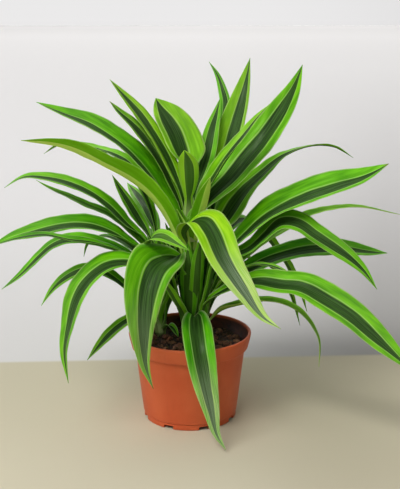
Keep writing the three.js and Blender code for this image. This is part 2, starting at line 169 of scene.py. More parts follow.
# Stage, in metres: the seam between beige and grey floor lies back at X = 0 and slants with X.
FLOOR_SIZE = 300
WALL_RADIUS, WALL_HEIGHT, WALL_SUNK = 140, 120, 0.1
VIEW_DISTANCE = 1.07
SEAM_BACK = (0.181, 0.193)
SEAM_SLANT = -0.056
# Distant lights: place, strength, the angle that each spans in degrees, and colour.
LIGHTS = {
    "key": ((-1.2, -1.55, 1.9), 4.2, 46, (1.0, 0.985, 0.95)),
    "back": ((-0.6, 1.6, 2.4), 0.5, 40, (1.0, 1.0, 1.0)),
}
LIGHT_TARGET = (0, 0, 0.2)
WORLD_COLOUR, WORLD_STRENGTH = (1.0, 1.0, 0.99, 1), 0.36

# Camera, as the photograph was calibrated: metres, degrees, pixels and millimetres.
CAMERA_PLACE = (0.0123, -1.073, 0.475)
CAMERA_PITCH = 13.59
FOCAL_PIXELS = 920
FRAME_HEIGHT = 489
SENSOR = 36

# The leaves of each cane in the order of their numbers, as in the CAD: azimuth, blade width, neck,
# roll at root and tip, and where it isn't the usual one, the form: where along it the blade is widest,
# and how it tapers. After the colon comes the route. Each of its points is the reach from the cane,
# the height and, where it isn't 0, the way sideways.
LEAVES = {"centre": """
-80 38 8 0 0 0.36 1.0: 3,112 14,128 30,134 50,132,-3 70,124,-5 85,110,-5 95,80,-1 104,47,5 113,20,10 \
    122,5,19
205 50 55 2 -20 0.44 0.85: 2,118 9,132 26,165 52,190 83,200 107,199 128,186 144,165 154,136 161,104 \
    158,65
-25 42 22 25 35 0.55 1.6: 4,124 20,145 43,162 66,174 88,180 116,179 142,179 170,168 200,153 230,131 \
    259,109 273,96
-120 60 22 0 -70 0.33 0.66: 3,192 10,199 26,205 60,210 86,206 103,187,1 111,160,2 113,132,3 112,100,6 \
    108,72,15
-55 45 12 18 22 0.36 1.0: 3,212 9,223,-10 15,236,-17 26,248,-15 44,253,-12 68,245,-16 100,221,-23 \
    133,194,-21 158,170,-15 178,160,-6
190 58 20 10 30: 3,186 20,230.6 35,258.8 53,281 76,299 104,315 133,331 161,340 194,345
172 44 20 0 -30: 3,194 14,246.9 31,274.9 49,301 73,328 97,346 121,360 151,371 184,383
159 36 30 0 0 0.62 1.8: 3,216 10,252.8 32,298 52,328.8 72,353 91,370 103,383
146 31 22 0 0 0.56 1.5: 2,236 9,268.5 29,308 49,337 72,364 95,386 118,407
118 54 48 0 0 0.5 2.0: 2,254.5,-1 8,268,-4.6 22,296,-9 42,334,-10 60,360,-4 84,384,3
-100 26 18 0 0 0.6 2.0: 3,252.5 7,270 12,290,1 16,313,1 21,332,-2
24 51 18 15 35: 3,218 20,262 54,291 75,313 96,335 118,364 137,395 149,425
-4 40 27 15 15: 3,230 9,264 28,294 47,324 65,348 79,368 92,383
61 37 20 10 20: 3,216 26,259 60,285 85,313 107,345 127,375 144,403 158,430
86 24 40 0 0: 2,231 7,253,1 20,278,-5 51,317,-17 74,345,-22 94,365,-27 110,381,-30
232 18 8 0 0: 4,102 12,125 28,147 46,173 60,188 70,202
75 22 8 0 0: 4,112 9,144,-5 16,174,-10 26,203,-13 38,229,-20
198 28 8 0 0: 3,128 5,147 12,172 22,201 37,226
92 42 22 0 0: 2,200 16,232 50,260 95,283 140,270 170,238 185,188
96 38 22 0 0: 2,176 16,204 48,228 86,238 114,230 136,208
""", "right": """
-8 50 18 20 35 0.52 1.6: 2,160 11,182,2 41,216,5 75,247,5 113,269,5 154,285,5 189,298,5 216,313,5
9 37 20 20 30 0.56 1.6: 2,116 20,148 54,173 81,186 106,193 135,198 174,198 210,193 237,190
-10 34 25 5 60: 2,138 14,166 30,192 56,205 75,223 94,241 114,240 133,228 156,214 177,200 194,185 \
    210,163
26 22 24 0 10 0.4 1.0: 3,128 17,154,2 45,176,3 66,190,3 91,205,3 119,217,3 147,230,3 185,237,3 \
    233,236,3 303,219,3
30 44 20 40 -30 0.28 0.5: 2,188 9,211 28,240,1 53,269,1 78,288,1 113,310,1 152,320,1 193,316,1 \
    224,300,1
-20 22 8 0 0 0.3 1.0: 2,104 22,127,6 45,135,13 68,142,13 94,143,13 118,135,13 135,120,13 146,100,13 \
    147,66,13
48 15 8 0 0: 2,144 33,180 76,179 112,166 152,140 181,105 204,54
50 30 20 10 20: 2,168 32,215 75,227 113,205 143,178 175,146 207,104 229,66
76 20 8 0 0: 2,206 28,239,4 61,297,3 100,371,3 109,389,9 121,408,19 133,424,33
-25 14 8 0 0: 2,128 18,158,5 41,177,10 67,189,10 100,185,10 125,161,10 142,150,10
84 24 12 0 0: 2,112 21,145,-10 55,166,-25 94,179,-38
82 36 22 0 0: 2,160 16,188,-2 50,214,-4 90,226,-4 125,216,-4 151,186,-4 163,146,-4
104 34 22 0 0: 2,130 17,156,-4 49,178,-9 89,186,-9 123,174,-9 147,144,-9 157,104,-9
""", "left": """
142 26 12 0 0: 2,214 8,240 23,270 47,302 72,313 107,318 143,321 171,318 201,304
172 34 32 0 -20: 2,176 15,209 40,231 64,254 87,270 112,281 143,288 169,289 195,275
163 18 16 -5 -15: 2,166 15,198.2 42,225.7 68,242.5 95,252 119,262 146,272 164,281
147 20 32 -5 -20: 2,186 11,212 25,226 43,250 59,271 71,289
107 24 22 0 0: 1,186 7,215 60,238 114,249 177,257
196 46 32 0 -26: 2,152 12,180 34,208 62,227 92,237 121,238 152,233 178,229 203,220
215 20 28 0 -18: 2,126 10,160 29,188 60,209.5 93,223.5 124,231 154,241 187,242 223,237
172 26 16 15 -52: 2,120 14,164 38,190 69,205 100,211 123,208 140,200 155,187 179,164 206,143
200 24 20 -10 -40 0.42 1.1: 2,104 11,123 30,141 48,160 65,175 83,184 99,185 120,177 136,164 149,146
139 16 8 0 0: 2,150 18,181 51,196 86,204 115,201 133,187 140,170
222 21 10 -10 -10: 3,99 8,111 25,121.5 50,121.5 73,113.5 96,99.5 113,86.5
-48 14 4 0 0: 2,96 12,106 24,105 34,98
92 36 22 0 0: 2,150 14,176 46,196 86,204 122,192 146,162 156,124
125 34 22 0 0: 2,116 14,144 44,166 74,172 96,164
66 32 22 0 0: 2,118 14,140 42,156 76,160 108,150 134,124 148,90
-28 12 8 0 0: 3,120 7,132,-2 14,142,-7 20,164,-10 26,192,-21
248 14 14 0 0: 3,109 7,123 14,146 22,171
"""}

# Each leaf's margins, from lime (0) to grass green (1), how brown its tip is, and how far its dark
# band lies to one side. Then, where they aren't the usual ones, how faded the band is, which also
# brings in colours lifted as painted light, and how pale the painted sheen streaks on the outer half are.
USUAL_FADE_SHEEN = (0.0, 0.1)
# A leaf that isn't here draws its first three: lowest, highest and the draw's salt.
USUAL_LOOKS = ((0.65, 1.0, 7), (0.1, 0.6, 8), (-0.1, 0.1, 10))
LOOKS = {
    "centre_01": (1, 0.2, 0, 0, 0.9), "centre_02": (0.8, 0.2, 0.05), "centre_03": (0.8, 0.1, -0.08),
    "centre_04": (0.8, 0.8, 0.22, 0, 0.5), "centre_05": (0, 0.1, -0.05, 0, 1),
    "centre_06": (0, 0.3, 0.74, 1), "centre_07": (0.9, 0.2, 0.42), "centre_08": (0.5, 0.9, 0),
    "centre_09": (0.2, 0.3, 0), "centre_10": (0.45, 0.2, 0.22), "centre_11": (0.2, 0.1, 0.1),
    "centre_12": (0.75, 0.2, 0, 0, 0), "centre_13": (0.5, 0.2, -0.1), "centre_14": (0.4, 0.2, -0.3),
    "right_01": (0.85, 0.9, -0.25, 0, 0), "right_02": (0.95, 0.3, -0.1), "right_03": (0.85, 0.2, -0.05),
    "right_04": (0.4, 0.2, 0.5, 0.8), "right_05": (0.7, 0.3, 0), "right_06": (0.5, 0.2, 0.2, 0.7),
    "left_02": (0.8, 0.3, 0.1), "left_03": (0.8, 0.3, 0, 0.5), "left_06": (0.9, 0.3, 0.15),
    "left_07": (0.95, 0.3, 0.1), "left_08": (0.9, 0.3, 0.05), "left_09": (0.8, 0.2, 0.1),
    "left_11": (0.6, 0.2, 0), "inner_03": (0.7, 0.2, 0, 0.35), "inner_09": (0, 0.1, -0.6, 0.8),
    "inner_10": (0.3, 0.1, 0.3, 0.5), "inner_11": (0.6, 0.2, 0, 0.2),
}


def clamp(value, low=0.0, high=1.0):
    return min(high, max(low, value))


def lerp(a, b, share):
    return a + (b - a) * share


def smoothstep(value, low, high):
    share = clamp((value - low) / (high - low))
    return share * share * (3 - 2 * share)


def draw(index, salt):
    """A repeatable number from 0 to 1 for each index."""
    value = math.sin(index * 127.1 + salt * 311.7) * 43758.5453
    return value - math.floor(value)


# --- Materials


def palette(**colours):
    """Scene-linear colours by name, from the hex codes of display colours."""
    def channel(value):
        value /= 255
        return value / 12.92 if value <= 0.04045 else ((value + 0.055) / 1.055) ** 2.4
    made = {name: (*map(channel, bytes.fromhex(code)), 1.0) for name, code in colours.items()}
    return SimpleNamespace(**made)


# The faded colours are lifted brighter as painted light, and the pale streak colours of the band and outer
# blade are painted sheen.
LEAF = palette(
    band="1a360c", band_light="3c6422", band_haze="547c3e", midrib="1c3812", faded="5ca408",
    faded_light="84c81a", lime="86c804", lime_light="ace220", grass="348e00", grass_light="64c602",
    streak="3e8002", streak_light="b8e054", line="bcd884", rim="c8e08c", bloom_band="8ca282",
    bloom_margin="d0e2a0", low_margin="ccd8aa", under_band="467022", under_faded="7ac410",
    under_lime="98ce2c", under_grass="5ca812", under_faded_margin="defa82", root_band="b0c47a",
    root_margin="d6dea8", dry="78542c")
POT = palette(
    body="cc5b33", body_light="d6683e", streak="b04e2e", scuff="d6805c", grain="a04428", inside="100906")
SOIL = palette(
    mix="221610", mix_light="3e2a1e", mix_crumb="604a3a", bark="2c1a12", bark_light="88583c",
    bark_crumb="a88462", fibre="120c09", pale_piece="78543c")
CANE = palette(
    skin="809646", skin_light="b0be70", foot="e2b092", spear="467828", spear_light="96cd3c",
    blotch="70603a", scar="705436")
STAGE = palette(
    beige="c2bca6", beige_near="d5ceb7", beige_cloud="d6cfb8", beige_right="aca58e", edge="d0cfd0",
    far="d6d5d6", middle="e5e4e5", near="d4d3d2", shade="787672", black="000000", glow="e9e8e8")


class Graph:
    """Short names for the shader nodes that the materials share."""

    def __init__(self, name):
        self.material = bpy.data.materials.new(name)
        self.material.use_nodes = True
        self.nodes = self.material.node_tree.nodes
        self.links = self.material.node_tree.links
        self.shader = self.nodes["Principled BSDF"]

    def put(self, socket, value):
        if isinstance(value, bpy.types.NodeSocket):
            self.links.new(value, socket)
        else:
            socket.default_value = value

    def set(self, **values):
        for key, value in values.items():
            self.put(self.shader.inputs[key.replace("_", " ")], value)

    def add(self, kind, inputs, output=0, **settings):
        """A node with its settings, and its inputs by index or name. Gives one of its outputs."""
        node = self.nodes.new("ShaderNode" + kind)
        for key, value in settings.items():
            setattr(node, key, value)
        for key, value in inputs.items():
            self.put(node.inputs[key], value)
        return node.outputs[output]

    def numbers(self, *names):
        """The named numbers that the mesh carries at its points."""
        return [self.add("Attribute", {}, "Fac", attribute_name=name) for name in names]

    def place(self):
        return self.add("TexCoord", {}, "Object")

    def right_and_back(self):
        place = self.place()
        return [self.add("SeparateXYZ", {0: place}, axis) for axis in (0, 1)]

    def math(self, operation, *values, clamped=False):
        return self.add("Math", dict(enumerate(values)), operation=operation, use_clamp=clamped)

    def times(self, *values, **options):
        return self.math("MULTIPLY", *values, **options)

    def plus(self, *values):
        return self.math("ADD", *values)

    def minus(self, *values, **options):
        return self.math("SUBTRACT", *values, **options)

    def step(self, value, low, high, start=0.0, end=1.0):
        """A smooth change from start to end while the value goes from low to high."""
        inputs = {0: value, 1: low, 2: high, 3: start, 4: end}
        return self.add("MapRange", inputs, interpolation_type="SMOOTHSTEP")

    def combine(self, x, y, z):
        return self.add("CombineXYZ", {0: x, 1: y, 2: z})

    def stretch(self, vector, scale):
        return self.add("VectorMath", {0: vector, 1: scale}, operation="MULTIPLY")

    def noise(self, vector, scale=1.0, detail=3.0, rough=0.5):
        inputs = {"Vector": vector, "Scale": scale, "Detail": detail, "Roughness": rough}
        return self.add("TexNoise", inputs, "Fac")

    def mix(self, share, first, second):
        return self.add("Mix", {0: share, 6: first, 7: second}, 2, data_type="RGBA")

    def bump(self, height, strength, distance, **under):
        """Relief from a height. Normal= gives the relief that lies under it."""
        return self.add("Bump", {"Height": height, "Strength": strength, "Distance": distance, **under})

    def coat(self, colour, *coats):
        """The colour under coats, each a share and the colour that it brings."""
        for share, other in coats:
            colour = self.mix(share, colour, other)
        return colour


# The leaf's stripes, as shares of the half width: the dark band's half width and how far its edge
# wanders, how soft its edge is, the pale line beside it and that line's half width, and the pale rim.
BAND_HALF, BAND_WANDER = 0.365, 0.13
BAND_SOFT_IN, BAND_SOFT_OUT = 0.03, 0.035
LINE_OFFSET, LINE_HALF = 0.055, 0.05
RIM_START = 0.91


def leaf_material():
    """Stripes, streaks, dry tips, painted sheen and painted light, from the numbers that each blade
    carries.

    across goes from -1 to 1 over the blade and lateral is the same in millimetres. along is millimetres
    from the leaf scar and share goes from 0 there to 1 at the tip. under is 1 on the underside."""
    g = Graph("leaf_striped")
    across, lateral, along, share, under = g.numbers("across", "lateral", "along", "share", "under")
    tone, burn, shift, fade_and_light, painted_sheen, seed = g.numbers("tone", "burn", "shift", "fade_and_light", "painted_sheen", "seed")
    rim_distance = g.math("ABSOLUTE", across)
    distance = g.math("ABSOLUTE", g.minus(across, shift))

    def strands(sideways, lengthways, detail, rough):
        """Noise drawn out along the blade, its scales per millimetre."""
        place = g.combine(g.times(lateral, sideways), g.times(along, lengthways), seed)
        return g.noise(place, 1.0, detail, rough)

    fine = strands(1.15, 0.013, 4.0, 0.62)
    ribs = strands(2.6, 0.02, 2.0, 0.5)
    broad = strands(0.16, 0.024, 2.0, 0.5)
    drift = g.noise(g.combine(g.times(g.math("SIGN", across), 3.0), g.times(along, 0.018), seed))

    # The dark band narrows to the tip, and its edge wanders a little.
    edge = g.times(g.plus(BAND_HALF, g.times(drift, BAND_WANDER)), g.step(share, 0.72, 1.02, 1.0, 0.55))
    margin = g.step(distance, g.minus(edge, BAND_SOFT_IN), g.plus(edge, BAND_SOFT_OUT))
    off_line = g.math("ABSOLUTE", g.minus(distance, g.plus(edge, LINE_OFFSET)))
    line = g.minus(1.0, g.math("DIVIDE", off_line, LINE_HALF), clamped=True)

    dark = g.coat(
        g.mix(g.step(fine, 0.34, 0.64), LEAF.band, LEAF.band_light),
        # Broad pale patches on the dark band are painted sheen.
        (g.times(g.step(broad, 0.48, 0.78), 0.3), LEAF.band_haze),
        # The darker line along the midrib is painted shade of its crease.
        (g.times(g.step(rim_distance, 0.0, 0.07, 1.0, 0.0), 0.6), LEAF.midrib),
        # On faded bands the green colours are lifted brighter than the leaf's own, as painted light.
        (fade_and_light, g.mix(g.step(broad, 0.3, 0.7), LEAF.faded, LEAF.faded_light)))
    patches = g.step(broad, 0.3, 0.72)
    bright = g.coat(
        g.mix(patches, LEAF.lime, LEAF.lime_light),
        (tone, g.mix(patches, LEAF.grass, LEAF.grass_light)),
        (g.step(fine, 0.50, 0.74, 0.0, 0.36), LEAF.streak),
        (g.times(g.step(fine, 0.32, 0.46, 1.0, 0.0), 0.14), LEAF.streak_light))
    line = g.times(g.times(line, g.minus(1.0, g.times(fade_and_light, 0.8))), g.plus(0.25, g.times(drift, 0.7)))

    # Painted sheen as pale streaks on the outer half, and white margins near the leaf's base.
    painted_sheen = g.times(painted_sheen, g.step(share, 0.45, 0.75))
    streaks = g.plus(g.step(ribs, 0.4, 0.66, 0.15, 0.6), g.step(fine, 0.4, 0.6, 0.0, 0.3))
    low = g.times(g.step(along, 20.0, 85.0, 1.0, 0.0), g.step(rim_distance, 0.74, 0.96))

    # The underside is paler and its stripes show less, and on faded leaves it is lifted brighter still as
    # painted light. Leaf bases are cream, and tips dry out.
    pale_band = g.mix(fade_and_light, LEAF.under_band, LEAF.under_faded)
    pale_margin = g.mix(fade_and_light, g.mix(tone, LEAF.under_lime, LEAF.under_grass), LEAF.under_faded_margin)
    root = g.step(g.plus(along, g.times(fine, 12.0)), 2.0, 30.0, 0.62, 0.0)
    dry = g.step(g.plus(share, g.times(fine, 0.05)), g.minus(1.03, g.times(burn, 0.045)), 1.04)
    colour = g.coat(
        g.mix(margin, dark, bright),
        (line, LEAF.line),
        (g.times(g.step(rim_distance, RIM_START, 1.0), 0.6), LEAF.rim),
        (g.times(painted_sheen, streaks), g.mix(margin, LEAF.bloom_band, LEAF.bloom_margin)),
        (g.times(low, 0.6), LEAF.low_margin),
        (g.times(under, 0.7), g.mix(margin, pale_band, pale_margin)),
        (root, g.mix(margin, LEAF.root_band, LEAF.root_margin)),
        (g.times(dry, 0.9), LEAF.dry))

    rough = g.plus(g.step(broad, 0.46, 0.7, 0.52, 0.25), g.times(fine, 0.14))
    rough = g.plus(rough, g.times(under, 0.3))
    normal = g.bump(broad, 0.18, 0.002, Normal=g.bump(ribs, 0.28, 0.0006))
    g.set(Base_Color=colour, Roughness=rough, Normal=normal, Specular_IOR_Level=0.13)
    return g.material


def pot_material():
    g = Graph("pot_plastic")
    place = g.place()
    grain = g.noise(place, 900.0, 3.0, 0.6)
    cloud = g.noise(place, 18.0, 3.0, 0.5)
    streak = g.noise(g.stretch(place, (1.0, 1.0, 0.08)), 160.0, 3.0, 0.6)
    scuff = g.noise(g.stretch(place, (1.0, 1.0, 2.5)), 55.0, 5.0, 0.7)
    inside, = g.numbers("inside")
    colour = g.coat(
        g.mix(g.step(cloud, 0.3, 0.7), POT.body, POT.body_light),
        (g.step(streak, 0.5, 0.8, 0.0, 0.25), POT.streak),
        (g.step(scuff, 0.62, 0.78, 0.0, 0.28), POT.scuff),
        (g.step(grain, 0.58, 0.75, 0.0, 0.2), POT.grain),
        # The inner wall and floor are darkened nearly to black: painted shade.
        (g.times(inside, g.step(scuff, 0.2, 0.6, 1.0, 0.88)), POT.inside))
    rough = g.plus(0.36, g.times(scuff, 0.2))
    normal = g.bump(cloud, 0.10, 0.002, Normal=g.bump(grain, 0.12, 0.0004))
    g.set(Base_Color=colour, Roughness=rough, Normal=normal, Specular_IOR_Level=0.26)
    return g.material


def soil_material(name, dark, light, crumb):
    """Lumpy organic matter with crumbs of its own colour and dark fibres. tone makes a piece paler."""
    g = Graph(name)
    place = g.place()
    crumbs = g.noise(place, 420.0, 5.0, 0.7)
    lumps = g.noise(place, 95.0, 4.0, 0.6)
    fibres = g.noise(g.stretch(place, (1.0, 0.25, 1.0)), 700.0, 3.0, 0.6)
    tone, = g.numbers("tone")
    colour = g.coat(
        g.mix(g.step(lumps, 0.3, 0.7), dark, light),
        (g.step(crumbs, 0.58, 0.78, 0.0, 0.5), crumb),
        (g.step(fibres, 0.3, 0.44, 0.55, 0.0), SOIL.fibre),
        (g.times(tone, 0.6), SOIL.pale_piece))
    normal = g.bump(fibres, 0.35, 0.0008, Normal=g.bump(crumbs, 0.7, 0.0016))
    g.set(Base_Color=colour, Roughness=g.plus(0.72, g.times(crumbs, 0.25)), Normal=normal)
    return g.material


def cane_material():
    """Green skin, pinkish at the foot and fresh at the spear. height goes from 0 to 1 up the cane."""
    g = Graph("cane_skin")
    height, ring, turn = g.numbers("height", "ring", "turn")
    vein = g.noise(g.combine(g.times(turn, 26.0), g.times(height, 3.0), 0.0), 1.0, 3.0, 0.6)
    blotch = g.noise(g.place(), 130.0, 4.0, 0.6)
    colour = g.coat(
        g.mix(g.step(vein, 0.35, 0.65), CANE.skin, CANE.skin_light),
        (g.step(height, 0.05, 0.35, 0.9, 0.0), CANE.foot),
        (g.step(height, 0.75, 1.0, 0.0, 0.8), g.mix(vein, CANE.spear, CANE.spear_light)),
        (g.step(blotch, 0.55, 0.75, 0.0, 0.35), CANE.blotch),
        (g.step(ring, 0.55, 0.95, 0.0, 0.75), CANE.scar))
    g.set(Base_Color=colour, Roughness=0.5, Normal=g.bump(vein, 0.35, 0.0008))
    return g.material


def floor_material():
    """A beige floor that gives way to a pale grey one behind the plant, along a slightly slanting line.

    The grey part carries painted shade: darker near the plant and to its right, and a little at its
    far edge, against the light that the wall gives it there. The beige part is painted lighter near the
    viewpoint, as painted light, and darker to the right, as painted shade. nearness is 1 over the
    distance from the camera's viewpoint, in metres."""
    g = Graph("floor_paint")
    right, back = g.right_and_back()
    nearness = g.math("DIVIDE", 1.0, g.plus(back, VIEW_DISTANCE))
    spread = g.times(right, nearness)
    depth = g.math("MAXIMUM", g.math("MULTIPLY_ADD", nearness, 1.26, -0.04, clamped=True), 0.085)
    shade = g.times(g.times(spread, 4.8, clamped=True), depth)
    cloud = g.noise(g.place(), 2.2, 2.0, 0.5)
    # The beige is painted lighter near the viewpoint as painted light, and darker to the right as painted
    # shade.
    beige = g.coat(
        g.mix(g.step(nearness, 0.75, 1.2), STAGE.beige, STAGE.beige_near),
        (g.times(cloud, 0.2), STAGE.beige_cloud),
        (g.times(g.step(spread, 0.0, 0.22), 0.5), STAGE.beige_right))
    # The grey is painted shade: darker at its far edge, near the plant and to its right, brightest
    # between.
    grey = g.coat(
        g.mix(g.step(nearness, 0.0078, 0.0112), STAGE.edge, STAGE.far),
        (g.step(nearness, 0.004, 0.035), STAGE.middle),
        (g.step(nearness, 0.3, 0.84), STAGE.near),
        (g.times(shade, 0.78), STAGE.shade))
    seam = g.step(g.math("MULTIPLY_ADD", right, SEAM_SLANT, back), *SEAM_BACK)
    g.set(Base_Color=g.mix(seam, beige, grey), Roughness=0.75, Specular_IOR_Level=0.0)
    return g.material


def wall_material():
    """The far backdrop glows as a lit studio wall does, less to the right and in front."""
    g = Graph("wall_paint")
    right, back = g.right_and_back()
    glow = g.times(g.step(back, -30.0, 70.0, 0.4, 1.0), g.step(right, 5.0, 120.0, 1.0, 0.4))
    g.set(Base_Color=STAGE.black, Emission_Color=STAGE.glow, Emission_Strength=glow, Roughness=1.0)
    return g.material


# --- Mesh helpers


def new_object(name, data):
    thing = bpy.data.objects.new(name, data)
    bpy.context.scene.collection.objects.link(thing)
    return thing


def link_mesh(name, mesh, material, floats):
    """An object of the mesh, with its material and its named numbers per point."""
    for key, values in floats.items():
        layer = mesh.attributes.new(key, "FLOAT", "POINT")
        layer.data.foreach_set("value", np.asarray(values, dtype=np.float32))
    mesh.materials.append(material)
    return new_object(name, mesh)


def smooth_shade(mesh):
    mesh.polygons.foreach_set("use_smooth", [True] * len(mesh.polygons))


def add_object(name, vertices, faces, material, floats):
    """A smooth-shaded object from points in millimetres."""
    mesh = bpy.data.meshes.new(name)
    mesh.from_pydata([tuple(v) for v in (np.asarray(vertices) * MM)], [], faces)
    mesh.validate()
    smooth_shade(mesh)
    return link_mesh(name, mesh, material, floats)


def object_of_bmesh(name, bm, material, tones):
    mesh = bpy.data.meshes.new(name)
    bm.to_mesh(mesh)
    bm.free()
    return link_mesh(name, mesh, material, {"tone": tones})


def ring_faces(rings):
    """Faces between rings of point numbers, of which the first and last may be one point on the axis."""
    faces = []
    for lower, upper in zip(rings, rings[1:]):
        sides = max(len(lower), len(upper))
        for k in range(sides):
            n = (k + 1) % sides
            corners = [lower[i % len(lower)] for i in (k, n)] + [upper[i % len(upper)] for i in (n, k)]
            faces.append(tuple(dict.fromkeys(corners)))
    return faces


def lathe(profile, sides):
    """Points and faces of a closed turned body. The profile runs from the axis out and back to it."""
    vertices = []
    rings = []
    for radius, height in profile:
        count = sides if radius > 1e-6 else 1
        rings.append(range(len(vertices), len(vertices) + count))
        for k in range(count):
            angle = 2 * math.pi * k / sides
            vertices.append((radius * math.cos(angle), radius * math.sin(angle), height))
    return vertices, ring_faces(rings)


def arc(cx, cy, radius, start, end, steps):
    """Points of a small round on a profile, angles in degrees."""
    angles = [math.radians(lerp(start, end, i / steps)) for i in range(steps + 1)]
    return [(cx + radius * math.cos(a), cy + radius * math.sin(a)) for a in angles]


# --- Pot


def wall_radius(height):
    foot = POT_HEIGHT - BAND_HEIGHT
    return lerp(BASE_RADIUS, RIM_RADIUS - BAND_TAPER - BAND_STEP, height / foot)


def make_pot(material):
    """The turned shell with its rim band, cut by the drainage slots."""
    foot = POT_HEIGHT - BAND_HEIGHT
    band = RIM_RADIUS - BAND_TAPER
    inner = RIM_RADIUS - LIP
    # The hollow underside, the foot and the wall.
    profile = [(0, HOLLOW_RISE), (BASE_RADIUS - HOLLOW_END, HOLLOW_RISE)]
    profile += [(BASE_RADIUS - HOLLOW_START, 0.15), (BASE_RADIUS - 1.2, 0)]
    profile += arc(BASE_RADIUS - FOOT_ROUND, FOOT_ROUND, FOOT_ROUND, -80, -10, 4)
    profile.append((wall_radius(FOOT_TOP) - FOOT_INSET, FOOT_TOP))
    profile.append((wall_radius(FOOT_TOP + 1.2), FOOT_TOP + 1.1))
    profile += [(wall_radius(h), h) for h in range(10, foot - 1, 6)]
    profile += [(wall_radius(foot - 1.6), foot - 1.6), (wall_radius(foot) + 0.3, foot - 0.5)]
    # The band and the rim.
    profile += arc(band - BAND_ROUND, foot + 0.9, BAND_ROUND, -80, 0, 4)
    for share in (0.25, 0.5, 0.75):
        profile.append((lerp(band, RIM_RADIUS, share), lerp(foot + 1.2, POT_HEIGHT - 3, share)))
    profile += arc(RIM_RADIUS - RIM_ROUND, POT_HEIGHT - RIM_ROUND, RIM_ROUND, -5, 90, 5)
    profile += arc(inner + LIP_ROUND, POT_HEIGHT - LIP_ROUND, LIP_ROUND, 95, 180, 4)
    # Down the inside and across the floor.
    profile += [(inner - 0.5, POT_HEIGHT - 4), (band - WALL - 1.0, foot + 4)]
    profile += [(wall_radius(foot) - WALL + 0.5, foot + 1), (wall_radius(foot) - WALL, foot - 1)]
    corner = wall_radius(FLOOR) - WALL
    profile += [(corner, FLOOR + 1), (corner - 1.5, FLOOR), (0, FLOOR)]
    vertices, faces = lathe(profile, POT_SIDES)
    # Points past the lip are the inside, which the material darkens as painted shade.
    lip = max(i for i, (_, h) in enumerate(profile) if h > POT_HEIGHT - 0.3) + 2
    inside = []
    for i, (radius, _) in enumerate(profile):
        inside += [float(i > lip)] * (POT_SIDES if radius > 1e-6 else 1)
    pot = add_object("pot_shell", vertices, faces, material, {"inside": inside})

    tool = bmesh.new()
    for i in range(SLOT_COUNT):
        turn = Matrix.Rotation(math.radians(SLOT_FIRST + 360 * i / SLOT_COUNT), 4, "Z")
        size = Matrix.Diagonal((SLOT_DEPTH * 2 * MM, SLOT_WIDTH * MM, SLOT_HEIGHT * 2 * MM, 1))
        out = Matrix.Translation((BASE_RADIUS * MM, 0, 0))
        bmesh.ops.create_cube(tool, size=1, matrix=turn @ out @ size)
    heights = {edge: [v.co.z for v in edge.verts] for edge in tool.edges}
    tops = [edge for edge, (a, b) in heights.items() if abs(a - b) < 1e-6 and a > 0]
    bmesh.ops.bevel(tool, geom=tops, offset=0.8 * MM, segments=2, affect="EDGES")
    mesh = bpy.data.meshes.new("slot_tool")
    tool.to_mesh(mesh)
    tool.free()
    cutter = new_object("slot_tool", mesh)
    cut = pot.modifiers.new("slots", "BOOLEAN")
    cut.object = cutter
    cut.operation = "DIFFERENCE"
    cut.solver = "EXACT"
    evaluated = pot.evaluated_get(bpy.context.evaluated_depsgraph_get())
    mesh = bpy.data.meshes.new_from_object(evaluated)
    pot.modifiers.clear()
    pot.data = mesh
    bpy.data.objects.remove(cutter)
    smooth_shade(pot.data)
    pot.data.set_sharp_from_angle(angle=math.radians(POT_SHARP))
    return pot


# --- Soil


def soil_height(x, y):
    broad = math.sin(x * SOIL_BROAD[0] + 1) * math.cos(y * SOIL_BROAD[1])
    fine = math.sin(x * SOIL_FINE[0] + y * SOIL_FINE[1])
    return SOIL_TOP + SOIL_BUMP * (broad + SOIL_FINE_SHARE * fine)


def make_soil(material):
    """The soil bed: a closed body with a rough, crumbly top."""
    foot = POT_HEIGHT - BAND_HEIGHT
    radius = wall_radius(foot) - WALL - SOIL_GAP
    profile = [(0, FLOOR + SOIL_GAP), (wall_radius(FLOOR) - WALL - 2, FLOOR + SOIL_GAP)]
    profile += [(wall_radius(FLOOR + 3) - WALL - SOIL_GAP, FLOOR + 3), (radius, foot - 1)]
    profile += [(radius * s, SOIL_TOP) for s in np.linspace(1, 0.0, SOIL_RINGS)]
    vertices, faces = lathe(profile, SOIL_SIDES)
    rough = []
    for x, y, z in vertices:
        if z > foot:
            place = Vector((x, y, 0))
            lump = noise.noise(place * 0.22) * 1.3 + noise.noise(place * 0.6 + Vector((9, 0, 0))) * 0.9
            crumb = noise.noise(place * 1.5 + Vector((0, 5, 0))) * 0.55
            z = soil_height(x, y) + lump + crumb - 0.5
        rough.append((x, y, z))
    return add_object("soil_bed", rough, faces, material, {"tone": [0.0] * len(rough)})


